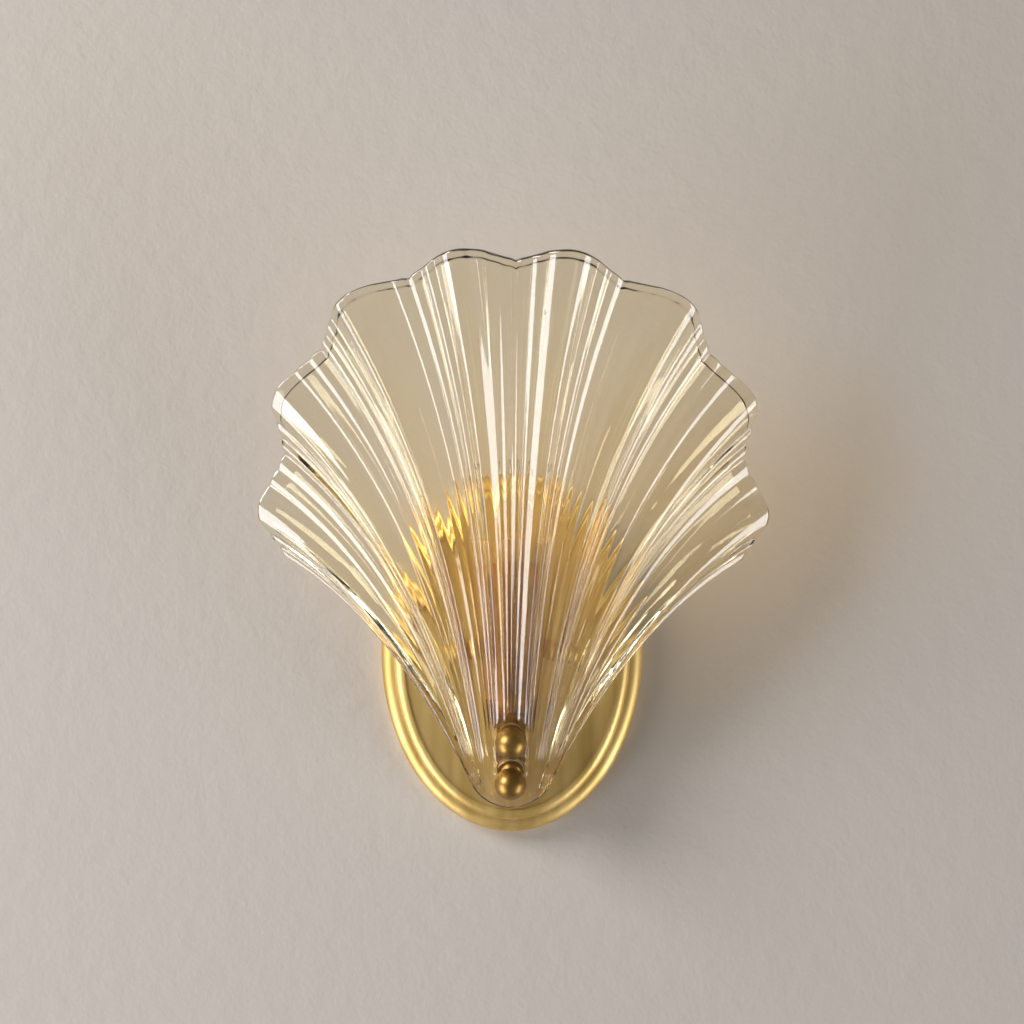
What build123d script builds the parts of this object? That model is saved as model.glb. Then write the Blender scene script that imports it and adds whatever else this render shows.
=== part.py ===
from build123d import *
from math import atan, cos, exp, hypot, pi, radians, sin, sqrt
import os

# Shell wall sconce, in millimetres. The wall is the plane Y = 0 and the room is towards -Y, so a
# "depth" below is a distance out from the wall. +Z is up, X = 0 is the plane of symmetry, and the
# origin is the middle of the oval backplate's back, on the wall.

# ---- backplate: an oval brass pan with a rolled rim, a bevel and a flat field
PLATE_HALF_WIDTH = 60.0
PLATE_HALF_HEIGHT = 83.0
PLATE_ROLL_WIDTH = 6.0
PLATE_ROLL_HEIGHT = 11.0
PLATE_ROLL_RADIUS = 5.4
PLATE_BEVEL_WIDTH = 4.6
PLATE_BEVEL_HEIGHT = 16.8
PLATE_BEVEL_RADIUS = 4.0
PLATE_FIELD_RECESS = 0.8
PLATE_WALL = 1.8

# ---- crossbar that screws to the wall box, and what holds the backplate to it
BAR_END_MARGIN = 4.0
BAR_WIDTH = 20.0
BAR_THICKNESS = 2.0
BOX_SCREW_SPACING = 79.0
BOX_SLOT_LENGTH = 17.0
BOX_SLOT_WIDTH = 4.6
STUD_SPACING = 50.0
STUD_RADIUS = 2.0
STUD_GRIP = 5.0
STUD_NUT_ACROSS_FLATS = 7.0
STUD_NUT_HEIGHT = 3.2
CAP_NUT_RADIUS = 4.6
CAP_NUT_HEIGHT = 8.0
CAP_NUT_SKIRT = 4.0
GROUND_SCREW_OFFSET = 11.0
GROUND_SCREW_RADIUS = 1.9
GROUND_HEAD_RADIUS = 3.8
GROUND_HEAD_HEIGHT = 2.4

# ---- support arm: a hollow elbow on the backplate with a bent pad behind the glass
ARM_HEIGHT = -27.0
ARM_FLANGE_RADIUS = 11.5
ARM_FLANGE_THICKNESS = 2.0
ARM_NECK_RADIUS = 6.8
ARM_TAIL_RADIUS = 5.0
ARM_TAIL_LENGTH = 6.8
ARM_BORE_RADIUS = 3.4
ARM_NUT_ACROSS_FLATS = 14.0
ARM_NUT_HEIGHT = 3.4
ARM_WASHER_RADIUS = 8.5
ARM_WASHER_THICKNESS = 0.9
ARM_WASHER_TEETH = 12
ARM_WASHER_NOTCH = 1.4
PAD_WIDTH = 13.0
PAD_THICKNESS = 4.0
PAD_ABOVE_UPPER_SCREW = 9.0
PAD_BELOW_LOWER_SCREW = 7.2
PAD_CORNER_RADIUS = 5.5
BUSH_FLANGE_RADIUS = 4.6
BUSH_FLANGE_THICKNESS = 1.0
BUSH_LENGTH = 5.0
BUSH_WALL = 0.8

# ---- glass shade: a fan of ribs from a round tongue to a scalloped rim
GLASS_THICKNESS = 5.0
RIM_CENTRE_HEIGHT = 66.0
RIM_RADIUS = 109.6
RIM_SQUARENESS = 2.3
RIM_SCALLOP = 3.4
FAN_HALF_ANGLE = 103.0
FLUTE_PITCH = 26.0
FLUTE_HALF_SHARE = 0.25
FLUTE_CROWN = 2.7
FLUTE_WAVE = 2.2
FLUTE_GROWTH = 2.2
FLUTE_FADE_SHARE = 0.2
TONGUE_RADIUS = 19.7
TONGUE_CENTRE_HEIGHT = -51.5
TONGUE_HALF_ANGLE = 62.0
RIB_START_LEAN = 26.0
RIB_END_LEAN = 66.0
RIB_END_LEAN_RATE = 0.68
RIB_START_REACH = 0.30
RIB_START_REACH_LOSS = 0.185
RIB_END_REACH = 0.43
SHADE_BEYOND_LAMP = 13.9
SHADE_KNEE_HEIGHT = -39.0
SHADE_LEAN = 0.22
SHADE_FLARE_RADIUS = 2174.0
TONGUE_CURL_RADIUS = 35.7
SIDE_WRAP_RADIUS = 200.0
TONGUE_WRAP_RADIUS = 33.8
TONGUE_WRAP_REACH = 30.0
COLUMNS_PER_FLUTE = 11
ROWS_ALONG_RIB = 10
SURFACE_TOLERANCE = 0.05

# ---- ball screws that clamp the glass to the pad, upper and lower
SCREW_HEIGHTS = {"upper": -37.4, "lower": -53.2}
SCREW_RADIUS = 2.0
SCREW_BEYOND_PAD = 2.0
BALL_RADIUS = 7.2
NECK_LENGTH = 2.6
NECK_RADIUS = 3.2
NECK_FOOT_RADIUS = 4.4
LAND_RADIUS = 7.0
FRONT_LAND_DEPTH = 1.4
REAR_LAND_DEPTH = 5.4
GASKET_RADIUS = 5.8
FRONT_GASKET_THICKNESS = 0.8
REAR_GASKET_THICKNESS = 1.4
WASHER_RADIUS = 6.0
WASHER_THICKNESS = 0.9
GLASS_HOLE_RADIUS = 3.2

# ---- lampholder on the arm: a brass sleeve round a moulded two-pin holder
SLEEVE_OFF_PLATE = 2.5
LAMP_SEAT_HEIGHT = -20.0
SLEEVE_RADIUS = 11.0
SLEEVE_WALL = 1.0
SLEEVE_TOP = 41.5
SLEEVE_CAP_THICKNESS = 2.5
SLEEVE_CAP_SPIGOT = 3.5
STEM_RADIUS = 4.0
STEM_BORE_RADIUS = 2.6
STEM_DEPTH_IN_ARM = 4.5
STEM_ABOVE_BRIDGE = 4.0
STEM_NUT_ACROSS_FLATS = 12.0
STEM_NUT_HEIGHT = 3.0
BRIDGE_HEIGHT = 2.0
BRIDGE_SHEET = 1.2
BRIDGE_WIDTH = 7.0
BRIDGE_HALF_SPAN = 9.0
BRIDGE_FOOT = 4.5
BRIDGE_BASE_RADIUS = 8.0
HOLDER_RADIUS = 9.7
HOLDER_BOTTOM = 26.0
HOLDER_TOP = 52.0
HOLDER_EDGE_RADIUS = 1.0
HOLDER_SLOT = (15.4, 6.6, 8.0)
HOLDER_WELL_RADIUS = 1.7
HOLDER_SCREW_RADIUS = 1.2
HOLDER_SCREW_HEAD_RADIUS = 1.9
HOLDER_SCREW_HEAD_HEIGHT = 1.6
HOLDER_SCREW_SPACING = 12.4
CLIP_RADIUS = 1.6
CLIP_LENGTH = 9.0

# ---- two-pin capsule lamp
PIN_SPACING = 9.0
PIN_RADIUS = 0.8
PIN_LENGTH = 9.0
PIN_IN_GLASS = 3.0
PINCH = (13.6, 5.0, 9.0)
PINCH_LIFT = 0.1
CAPSULE_RADIUS = 7.0
CAPSULE_WALL = 1.0
CAPSULE_LENGTH = 35.0
FILAMENT_RADIUS = 0.45
FILAMENT_HALF_WIDTH = 2.6
FILAMENT_HEIGHT = 17.0
FILAMENT_BEND_RADIUS = 2.3

# ---- lead wires and the terminal block in the backplate
LEAD_RADIUS = 0.9
LEAD_HALF_SPACING = 1.2
LEAD_BEND_RADIUS = 5.0
LEAD_GENTLE_RADIUS = 16.0
LEAD_RUN_DEPTH = 4.2
TERMINAL_TOP = -40.0
TERMINAL_WIDTH = 17.0
TERMINAL_HEIGHT = 10.0
TERMINAL_DEPTH = 8.0
TERMINAL_HALF_SPACING = 4.0
TERMINAL_SCREW_RADIUS = 1.6
TERMINAL_SCREW_HEAD = 1.2
TERMINAL_SCREW_RISE = 2.6

# ---- driver slots, and clearances
DRIVER_SLOT_WIDTH = 1.0
DRIVER_SLOT_SHARE = 0.5
SLIP = 0.05
LOOSE = 0.2
LEAD_ENTRY = 3.0


# ---------------------------------------------------------------- places and plain shapes
def spot(x, depth, z):
    """A point at a depth out from the wall."""
    return Vector(x, -depth, z)


def rod_out(radius, start, end, x=0.0, z=0.0):
    """A round bar square to the wall, from one depth to another."""
    plane = Plane(origin=spot(x, start, z), x_dir=(1, 0, 0), z_dir=(0, -1, 0))
    return plane * extrude(Circle(radius), end - start)


def rod_up(radius, start, end, x=0.0, depth=0.0):
    """An upright round bar, from one height to another."""
    return Pos(x, -depth, start) * extrude(Circle(radius), end - start)


def hexagon(across_flats):
    """A hexagon, by its size across the flats."""
    return RegularPolygon(across_flats / 2, 6, major_radius=False)


def hex_out(across_flats, start, end, x=0.0, z=0.0):
    """A hexagon bar square to the wall."""
    plane = Plane(origin=spot(x, start, z), x_dir=(1, 0, 0), z_dir=(0, -1, 0))
    return plane * extrude(hexagon(across_flats), end - start)


def hex_up(across_flats, start, end, depth):
    """An upright hexagon bar."""
    return Pos(0, -depth, start) * extrude(hexagon(across_flats), end - start)


def block(width, depth_low, depth_high, low, high, x=0.0):
    """A box between two depths and two heights, centred on x."""
    size = (width, depth_high - depth_low, high - low)
    middle = spot(x, (depth_low + depth_high) / 2, (low + high) / 2)
    return Pos(middle) * Box(*size)


def driver_slot(head_radius, head_height, head_top, x, z):
    """What a driver's slot takes out of a screw's head that faces the room."""
    half = DRIVER_SLOT_WIDTH / 2
    floor = head_top - DRIVER_SLOT_SHARE * head_height
    return block(2 * (head_radius + LOOSE), floor, head_top, z - half, z + half, x=x)


def swept_wire(points, radius, bends):
    """A round wire along straight runs joined by arcs."""
    path = FilletPolyline(*points, radius=bends)
    section = Plane(origin=path @ 0, z_dir=path % 0) * Circle(radius)
    return sweep(section, path)


# ---------------------------------------------------------------- the shade's form
def centre_depth(z):
    """Depth of the shade's front on the plane of symmetry."""
    above_knee = z - SHADE_KNEE_HEIGHT
    below_knee = max(0.0, -above_knee)
    flare = max(0.0, above_knee) ** 2 / (2 * SHADE_FLARE_RADIUS)
    curl = below_knee ** 2 / (2 * TONGUE_CURL_RADIUS)
    return SHADE_DEPTH_AT_KNEE + SHADE_LEAN * above_knee + flare - curl


def centre_slope(z):
    """How fast the front comes out from the wall with height, on the plane of symmetry."""
    above_knee = z - SHADE_KNEE_HEIGHT
    below_knee = max(0.0, -above_knee)
    return SHADE_LEAN + max(0.0, above_knee) / SHADE_FLARE_RADIUS + below_knee / TONGUE_CURL_RADIUS


def tongue_curvature(z):
    """How much more sharply the shade curves round the tongue than at its sides, at a height."""
    tongue_end = TONGUE_CENTRE_HEIGHT - TONGUE_RADIUS
    return exp(-(z - tongue_end) / TONGUE_WRAP_REACH) / TONGUE_WRAP_RADIUS


def front_depth(x, z):
    """Depth of the plain front, without flutes."""
    curvature = 1 / SIDE_WRAP_RADIUS + tongue_curvature(z)
    return centre_depth(z) - curvature * x ** 2 / 2


def front_normal(x, z):
    """Unit normal of the plain front, without flutes, as (x, depth, z)."""
    across = (1 / SIDE_WRAP_RADIUS + tongue_curvature(z)) * x
    along = -tongue_curvature(z) / TONGUE_WRAP_REACH * x ** 2 / 2 - centre_slope(z)
    length = sqrt(across ** 2 + 1 + along ** 2)
    return across / length, 1 / length, along / length


def flute_phase(angle):
    """Place across one flute's pitch: 0 on its crest, up to 0.5 each way in the valleys."""
    turns = angle / FLUTE_PITCH - 0.5
    return turns - round(turns)


def flute_height(angle, along):
    """How far the flutes lift the surface at a fan angle and a share of the rib's length."""
    phase = flute_phase(angle)
    growth = (1 - (1 - along) ** FLUTE_GROWTH) * min(1.0, along / FLUTE_FADE_SHARE)
    wave = FLUTE_WAVE * cos(2 * pi * phase)
    crown = FLUTE_CROWN * max(0.0, 1 - (phase / FLUTE_HALF_SHARE) ** 2) ** 1.5
    return growth * (wave + crown)


def rim_point(angle):
    """The rim as it is seen from the front, as (x, z)."""
    a = radians(angle)
    squareness = (abs(cos(a)) ** RIM_SQUARENESS + abs(sin(a)) ** RIM_SQUARENESS) ** (-1 / RIM_SQUARENESS)
    radius = RIM_RADIUS * squareness + RIM_SCALLOP * cos(2 * pi * flute_phase(angle))
    return radius * sin(a), RIM_CENTRE_HEIGHT + radius * cos(a)


def rib_point(across, along):
    """A point of a rib as it is seen from the front: across is -1 to 1, along is 0 at the tongue."""
    start_angle = radians(TONGUE_HALF_ANGLE * across)
    start = (TONGUE_RADIUS * sin(start_angle), TONGUE_CENTRE_HEIGHT - TONGUE_RADIUS * cos(start_angle))
    end = rim_point(FAN_HALF_ANGLE * across)
    span = hypot(end[0] - start[0], end[1] - start[1])
    start_lean = radians(RIB_START_LEAN * across)
    end_lean = radians(RIB_END_LEAN) * sin(RIB_END_LEAN_RATE * radians(FAN_HALF_ANGLE * across))
    start_reach = span * (RIB_START_REACH - RIB_START_REACH_LOSS * across ** 2)
    end_reach = span * RIB_END_REACH
    pull_start = (start[0] + start_reach * sin(start_lean), start[1] + start_reach * cos(start_lean))
    pull_end = (end[0] - end_reach * sin(end_lean), end[1] - end_reach * cos(end_lean))
    rest = 1 - along
    shares = (rest ** 3, 3 * along * rest ** 2, 3 * along ** 2 * rest, along ** 3)
    corners = (start, pull_start, pull_end, end)
    return tuple(sum(share * corner[i] for share, corner in zip(shares, corners)) for i in range(2))


def shade_point(across, along, inward):
    """A point of the fluted shade, a distance in from its front."""
    x, z = rib_point(across, along)
    normal = front_normal(x, z)
    depth = front_depth(x, z)
    lift = flute_height(FAN_HALF_ANGLE * across, along) - inward
    return spot(x + normal[0] * lift, depth + normal[1] * lift, z + normal[2] * lift)


def shade_face(inward):
    """The shade's front, or its back where inward is the glass's thickness."""
    columns = round(2 * FAN_HALF_ANGLE / FLUTE_PITCH * COLUMNS_PER_FLUTE)
    shares = [row / ROWS_ALONG_RIB for row in range(ROWS_ALONG_RIB + 1)]
    grid = []
    for column in range(columns + 1):
        across = 2 * column / columns - 1
        grid.append([shade_point(across, along, inward) for along in shares])
    return Face.make_surface_from_array_of_points(grid, tol=SURFACE_TOLERANCE)


def screw_plane(name):
    """The plane on the plain front where a ball screw goes through, facing out along its axis."""
    z = SCREW_HEIGHTS[name]
    tilt = atan(centre_slope(z))
    return Plane(origin=spot(0, centre_depth(z), z), x_dir=(1, 0, 0), z_dir=(0, -cos(tilt), -sin(tilt)))


def along_screw(name, radius, start, end):
    """A round bar on a ball screw's axis; distances are out from the plain front."""
    return screw_plane(name) * Pos(0, 0, start) * extrude(Circle(radius), end - start)


def shade_edges(face):
    """A shade face's rim, tongue, left and right edges."""
    edges = face.edges()
    rim = max(edges, key=lambda edge: edge.center().Z)
    tongue = min(edges, key=lambda edge: edge.center().Z)
    left = min(edges, key=lambda edge: edge.center().X)
    right = max(edges, key=lambda edge: edge.center().X)
    return rim, tongue, left, right


# ---------------------------------------------------------------- the stack along each ball screw
FRONT_GASKET_FRONT = -FRONT_LAND_DEPTH + FRONT_GASKET_THICKNESS
WASHER_FRONT = FRONT_GASKET_FRONT + WASHER_THICKNESS
BALL_CENTRE = WASHER_FRONT + NECK_LENGTH + sqrt(BALL_RADIUS ** 2 - NECK_RADIUS ** 2)
PAD_FRONT = -REAR_LAND_DEPTH - REAR_GASKET_THICKNESS
PAD_BACK = PAD_FRONT - PAD_THICKNESS
SCREW_TIP = PAD_BACK - SCREW_BEYOND_PAD

# ---------------------------------------------------------------- the backplate's levels, and the lamp's axis
ROLL_HALF_SIZE = (PLATE_HALF_WIDTH, PLATE_HALF_HEIGHT)
BEVEL_HALF_SIZE = (PLATE_HALF_WIDTH - PLATE_ROLL_WIDTH, PLATE_HALF_HEIGHT - PLATE_ROLL_WIDTH)
FIELD_INSET = PLATE_ROLL_WIDTH + PLATE_BEVEL_WIDTH
FIELD_HALF_SIZE = (PLATE_HALF_WIDTH - FIELD_INSET, PLATE_HALF_HEIGHT - FIELD_INSET)
FIELD_DEPTH = PLATE_BEVEL_HEIGHT - PLATE_FIELD_RECESS
FIELD_BACK = FIELD_DEPTH - PLATE_WALL
ARM_TAIL_END = FIELD_DEPTH - ARM_TAIL_LENGTH
STUD_END = FIELD_DEPTH + STUD_GRIP
BAR_LENGTH = BOX_SCREW_SPACING + BOX_SLOT_LENGTH + 2 * BAR_END_MARGIN
LAMP_DEPTH = FIELD_DEPTH + SLEEVE_OFF_PLATE + SLEEVE_RADIUS
SHADE_DEPTH_AT_KNEE = LAMP_DEPTH + SHADE_BEYOND_LAMP


def glass_shade():
    """Fluted glass, with two holes and a flat land on each side of them for the gaskets."""
    front = shade_face(0.0)
    back = shade_face(GLASS_THICKNESS)
    edge_pairs = zip(shade_edges(front), shade_edges(back))
    sides = [Face.make_surface_from_curves(outer, inner) for outer, inner in edge_pairs]
    glass = Solid(Shell([front, back, *sides]))
    for name in SCREW_HEIGHTS:
        glass -= along_screw(name, GLASS_HOLE_RADIUS, -2 * GLASS_THICKNESS, GLASS_THICKNESS)
        glass -= along_screw(name, LAND_RADIUS, -FRONT_LAND_DEPTH, GLASS_THICKNESS)
        glass -= along_screw(name, LAND_RADIUS, -2 * GLASS_THICKNESS, -REAR_LAND_DEPTH)
    return glass


def ring_on_screw(name, radius, hole, start, end):
    """A washer or gasket on a ball screw's axis."""
    return along_screw(name, radius, start, end) - along_screw(name, hole, start, end)


def front_gasket(name):
    """Fibre washer between a knob's brass washer and the glass."""
    return ring_on_screw(name, GASKET_RADIUS, SCREW_RADIUS + LOOSE, -FRONT_LAND_DEPTH, FRONT_GASKET_FRONT)


def rear_gasket(name):
    """Silicone washer between the glass and the arm's pad."""
    return ring_on_screw(name, GASKET_RADIUS, SCREW_RADIUS + LOOSE, PAD_FRONT, -REAR_LAND_DEPTH)


def knob_washer(name):
    """Brass washer that travels with its ball screw."""
    return ring_on_screw(name, WASHER_RADIUS, SCREW_RADIUS + SLIP, FRONT_GASKET_FRONT, WASHER_FRONT)


def ball_screw(name):
    """Turned ball head, waisted neck and shank."""
    half_neck = NECK_LENGTH / 2
    foot = Pos(0, 0, WASHER_FRONT + half_neck / 2) * Cone(NECK_FOOT_RADIUS, NECK_RADIUS, half_neck)
    screw = screw_plane(name) * foot
    screw += along_screw(name, NECK_RADIUS, WASHER_FRONT + half_neck, BALL_CENTRE)
    screw += screw_plane(name) * Pos(0, 0, BALL_CENTRE) * Sphere(BALL_RADIUS)
    screw += along_screw(name, SCREW_RADIUS, SCREW_TIP, WASHER_FRONT)
    return screw


# ---------------------------------------------------------------- backplate and its fixings
def oval_step(half_size, height, edge_radius):
    """An oval slab on the wall with a rounded front edge."""
    slab = Plane(origin=(0, 0, 0), x_dir=(1, 0, 0), z_dir=(0, -1, 0)) * extrude(Ellipse(*half_size), height)
    front_edge = slab.edges().sort_by(Axis.Y)[0]
    return fillet(front_edge, edge_radius)


def inset(half_size, amount):
    """An oval's half sizes, drawn in all round."""
    return half_size[0] - amount, half_size[1] - amount


def backplate():
    """Oval brass pan, open at the back, with holes for the arm and the two studs."""
    plate = oval_step(ROLL_HALF_SIZE, PLATE_ROLL_HEIGHT, PLATE_ROLL_RADIUS)
    plate += oval_step(BEVEL_HALF_SIZE, PLATE_BEVEL_HEIGHT, PLATE_BEVEL_RADIUS)
    wall = PLATE_WALL
    plate -= oval_step(inset(ROLL_HALF_SIZE, wall), PLATE_ROLL_HEIGHT - wall, PLATE_ROLL_RADIUS - wall)
    inner_bevel = inset(BEVEL_HALF_SIZE, wall + PLATE_FIELD_RECESS)
    plate -= oval_step(inner_bevel, FIELD_BACK, PLATE_BEVEL_RADIUS - wall)
    field = Plane(origin=spot(0, FIELD_DEPTH, 0), x_dir=(1, 0, 0), z_dir=(0, -1, 0))
    plate -= field * extrude(Ellipse(*FIELD_HALF_SIZE), PLATE_BEVEL_HEIGHT)
    plate -= rod_out(ARM_TAIL_RADIUS + LOOSE, 0, PLATE_BEVEL_HEIGHT, z=ARM_HEIGHT)
    for side in (-1, 1):
        plate -= rod_out(STUD_RADIUS + LOOSE, 0, PLATE_BEVEL_HEIGHT, x=side * STUD_SPACING / 2)
    return plate


def crossbar():
    """Steel strap with a slot at each end for the wall box's screws."""
    plane = Plane(origin=(0, 0, 0), x_dir=(1, 0, 0), z_dir=(0, -1, 0))
    outline = SlotOverall(BAR_LENGTH, BAR_WIDTH)
    for side in (-1, 1):
        outline -= Pos(side * BOX_SCREW_SPACING / 2, 0) * SlotOverall(BOX_SLOT_LENGTH, BOX_SLOT_WIDTH)
        outline -= Pos(side * STUD_SPACING / 2, 0) * Circle(STUD_RADIUS + SLIP)
    outline -= Pos(GROUND_SCREW_OFFSET, 0) * Circle(GROUND_SCREW_RADIUS + SLIP)
    return plane * extrude(outline, BAR_THICKNESS)


def stud(side):
    """Threaded stud from the crossbar, through the backplate, into a cap nut."""
    return rod_out(STUD_RADIUS, 0, STUD_END, x=side * STUD_SPACING / 2)


def stud_nut(side):
    """Hexagon nut that locks a stud to the crossbar."""
    x = side * STUD_SPACING / 2
    nut = hex_out(STUD_NUT_ACROSS_FLATS, BAR_THICKNESS, BAR_THICKNESS + STUD_NUT_HEIGHT, x=x)
    return nut - rod_out(STUD_RADIUS + SLIP, 0, STUD_END, x=x)


def cap_nut(side):
    """Domed brass nut on the backplate's front."""
    x = side * STUD_SPACING / 2
    nut = rod_out(CAP_NUT_RADIUS, FIELD_DEPTH, FIELD_DEPTH + CAP_NUT_SKIRT, x=x)
    dome_rise = CAP_NUT_HEIGHT - CAP_NUT_SKIRT
    dome_radius = (CAP_NUT_RADIUS ** 2 + dome_rise ** 2) / (2 * dome_rise)
    dome_centre = spot(x, FIELD_DEPTH + CAP_NUT_HEIGHT - dome_radius, 0)
    dome = Pos(dome_centre) * Sphere(dome_radius)
    nut += dome & rod_out(CAP_NUT_RADIUS, FIELD_DEPTH, FIELD_DEPTH + CAP_NUT_HEIGHT, x=x)
    return nut - rod_out(STUD_RADIUS + SLIP, 0, STUD_END + LOOSE, x=x)


def ground_screw():
    """Earthing screw on the crossbar, with a slotted head."""
    head_top = BAR_THICKNESS + GROUND_HEAD_HEIGHT
    screw = rod_out(GROUND_HEAD_RADIUS, BAR_THICKNESS, head_top, x=GROUND_SCREW_OFFSET)
    screw += rod_out(GROUND_SCREW_RADIUS, 0, BAR_THICKNESS, x=GROUND_SCREW_OFFSET)
    return screw - driver_slot(GROUND_HEAD_RADIUS, GROUND_HEAD_HEIGHT, head_top, GROUND_SCREW_OFFSET, 0)


# ---------------------------------------------------------------- support arm
def pad_side():
    """Side outline of the bent pad: square to both ball screws, with one bend between them."""
    upper = screw_plane("upper")
    lower = screw_plane("lower")
    faces = []
    for level in (PAD_FRONT, PAD_BACK):
        on_upper = upper.origin + upper.z_dir * level
        on_lower = lower.origin + lower.z_dir * level
        rise_to_bend = (on_upper - on_lower).dot(upper.z_dir) / lower.y_dir.dot(upper.z_dir)
        top = on_upper + upper.y_dir * PAD_ABOVE_UPPER_SCREW
        bend = on_lower + lower.y_dir * rise_to_bend
        bottom = on_lower - lower.y_dir * PAD_BELOW_LOWER_SCREW
        faces.append([top, bend, bottom])
    front, back = faces
    return front + back[::-1]


def arm_pad():
    """The bent pad behind the glass, with its two lower corners rounded."""
    profile = make_face(Polyline(*pad_side(), close=True))
    pad = extrude(profile, PAD_WIDTH / 2, dir=(1, 0, 0), both=True)
    thickness_edges = pad.edges().filter_by(lambda edge: abs(edge.length - PAD_THICKNESS) < SLIP)
    lower_corners = thickness_edges.group_by(Axis.Z)[0]
    return fillet(lower_corners, PAD_CORNER_RADIUS)


def support_arm():
    """Hollow brass elbow: tail and flange at the backplate, seat for the lamp, pad for the glass."""
    neck_reach = centre_depth(SCREW_HEIGHTS["upper"]) + PAD_BACK
    arm = rod_out(ARM_FLANGE_RADIUS, FIELD_DEPTH, FIELD_DEPTH + ARM_FLANGE_THICKNESS, z=ARM_HEIGHT)
    arm += rod_out(ARM_TAIL_RADIUS, ARM_TAIL_END, FIELD_DEPTH, z=ARM_HEIGHT)
    arm += rod_out(ARM_NECK_RADIUS, FIELD_DEPTH, neck_reach, z=ARM_HEIGHT)
    arm += rod_up(ARM_NECK_RADIUS, ARM_HEIGHT, LAMP_SEAT_HEIGHT, depth=LAMP_DEPTH)
    arm += arm_pad()
    arm -= rod_out(ARM_BORE_RADIUS, ARM_TAIL_END, LAMP_DEPTH, z=ARM_HEIGHT)
    arm -= Pos(0, -LAMP_DEPTH, ARM_HEIGHT) * Sphere(ARM_BORE_RADIUS)
    arm -= rod_up(ARM_BORE_RADIUS, ARM_HEIGHT, LAMP_SEAT_HEIGHT, depth=LAMP_DEPTH)
    arm -= rod_up(STEM_RADIUS + SLIP, STEM_BOTTOM, LAMP_SEAT_HEIGHT, depth=LAMP_DEPTH)
    for name in SCREW_HEIGHTS:
        arm -= along_screw(name, SCREW_RADIUS + SLIP, SCREW_TIP - SCREW_BEYOND_PAD, 0)
    return arm


def arm_washer():
    """Toothed lock washer behind the backplate."""
    start, end = FIELD_BACK - ARM_WASHER_THICKNESS, FIELD_BACK
    washer = rod_out(ARM_WASHER_RADIUS, start, end, z=ARM_HEIGHT)
    washer -= rod_out(ARM_TAIL_RADIUS + LOOSE, start, end, z=ARM_HEIGHT)
    for tooth in range(ARM_WASHER_TEETH):
        angle = 2 * pi * tooth / ARM_WASHER_TEETH
        x = ARM_WASHER_RADIUS * cos(angle)
        z = ARM_HEIGHT + ARM_WASHER_RADIUS * sin(angle)
        washer -= rod_out(ARM_WASHER_NOTCH / 2, start, end, x=x, z=z)
    return washer


def arm_nut():
    """Hexagon nut on the arm's threaded tail."""
    front = FIELD_BACK - ARM_WASHER_THICKNESS
    nut = hex_out(ARM_NUT_ACROSS_FLATS, front - ARM_NUT_HEIGHT, front, z=ARM_HEIGHT)
    return nut - rod_out(ARM_TAIL_RADIUS + SLIP, front - ARM_NUT_HEIGHT, front, z=ARM_HEIGHT)


def lead_bush():
    """Insulating bush in the tail's mouth, so that the leads don't chafe."""
    bush = rod_out(BUSH_FLANGE_RADIUS, ARM_TAIL_END - BUSH_FLANGE_THICKNESS, ARM_TAIL_END, z=ARM_HEIGHT)
    bush += rod_out(ARM_BORE_RADIUS - SLIP, ARM_TAIL_END, ARM_TAIL_END + BUSH_LENGTH, z=ARM_HEIGHT)
    bore = ARM_BORE_RADIUS - SLIP - BUSH_WALL
    return bush - rod_out(bore, 0, ARM_TAIL_END + BUSH_LENGTH, z=ARM_HEIGHT)


# ---------------------------------------------------------------- lampholder
HOLDER_SLOT_WIDTH, HOLDER_SLOT_BREADTH, HOLDER_SLOT_DEPTH = HOLDER_SLOT
HOLDER_SLOT_FLOOR = HOLDER_TOP - HOLDER_SLOT_DEPTH
HOLDER_HEAD_FLOOR = HOLDER_TOP - 2 * HOLDER_SCREW_HEAD_HEIGHT
STEM_BOTTOM = LAMP_SEAT_HEIGHT - STEM_DEPTH_IN_ARM
STEM_TOP = BRIDGE_HEIGHT + BRIDGE_SHEET + STEM_ABOVE_BRIDGE
CLIP_TOP = HOLDER_SLOT_FLOOR - LOOSE
CLIP_BOTTOM = CLIP_TOP - CLIP_LENGTH


def sleeve_cap():
    """Turned brass cap that closes and centres the sleeve's foot."""
    top = LAMP_SEAT_HEIGHT + SLEEVE_CAP_THICKNESS
    cap = rod_up(SLEEVE_RADIUS, LAMP_SEAT_HEIGHT, top, depth=LAMP_DEPTH)
    cap += rod_up(SLEEVE_RADIUS - SLEEVE_WALL - SLIP, top, top + SLEEVE_CAP_SPIGOT, depth=LAMP_DEPTH)
    return cap - rod_up(STEM_RADIUS + LOOSE, LAMP_SEAT_HEIGHT, top + SLEEVE_CAP_SPIGOT, depth=LAMP_DEPTH)


def lamp_sleeve():
    """Brass tube round the lampholder."""
    foot = LAMP_SEAT_HEIGHT + SLEEVE_CAP_THICKNESS
    tube = rod_up(SLEEVE_RADIUS, foot, SLEEVE_TOP, depth=LAMP_DEPTH)
    return tube - rod_up(SLEEVE_RADIUS - SLEEVE_WALL, foot, SLEEVE_TOP, depth=LAMP_DEPTH)


def lamp_stem():
    """Threaded tube from the arm to the holder's bridge."""
    tube = rod_up(STEM_RADIUS, STEM_BOTTOM, STEM_TOP, depth=LAMP_DEPTH)
    return tube - rod_up(STEM_BORE_RADIUS, STEM_BOTTOM, STEM_TOP, depth=LAMP_DEPTH)


def stem_nut(bottom):
    """Hexagon nut on the stem."""
    top = bottom + STEM_NUT_HEIGHT
    nut = hex_up(STEM_NUT_ACROSS_FLATS, bottom, top, LAMP_DEPTH)
    return nut - rod_up(STEM_RADIUS + SLIP, bottom, top, depth=LAMP_DEPTH)


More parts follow.
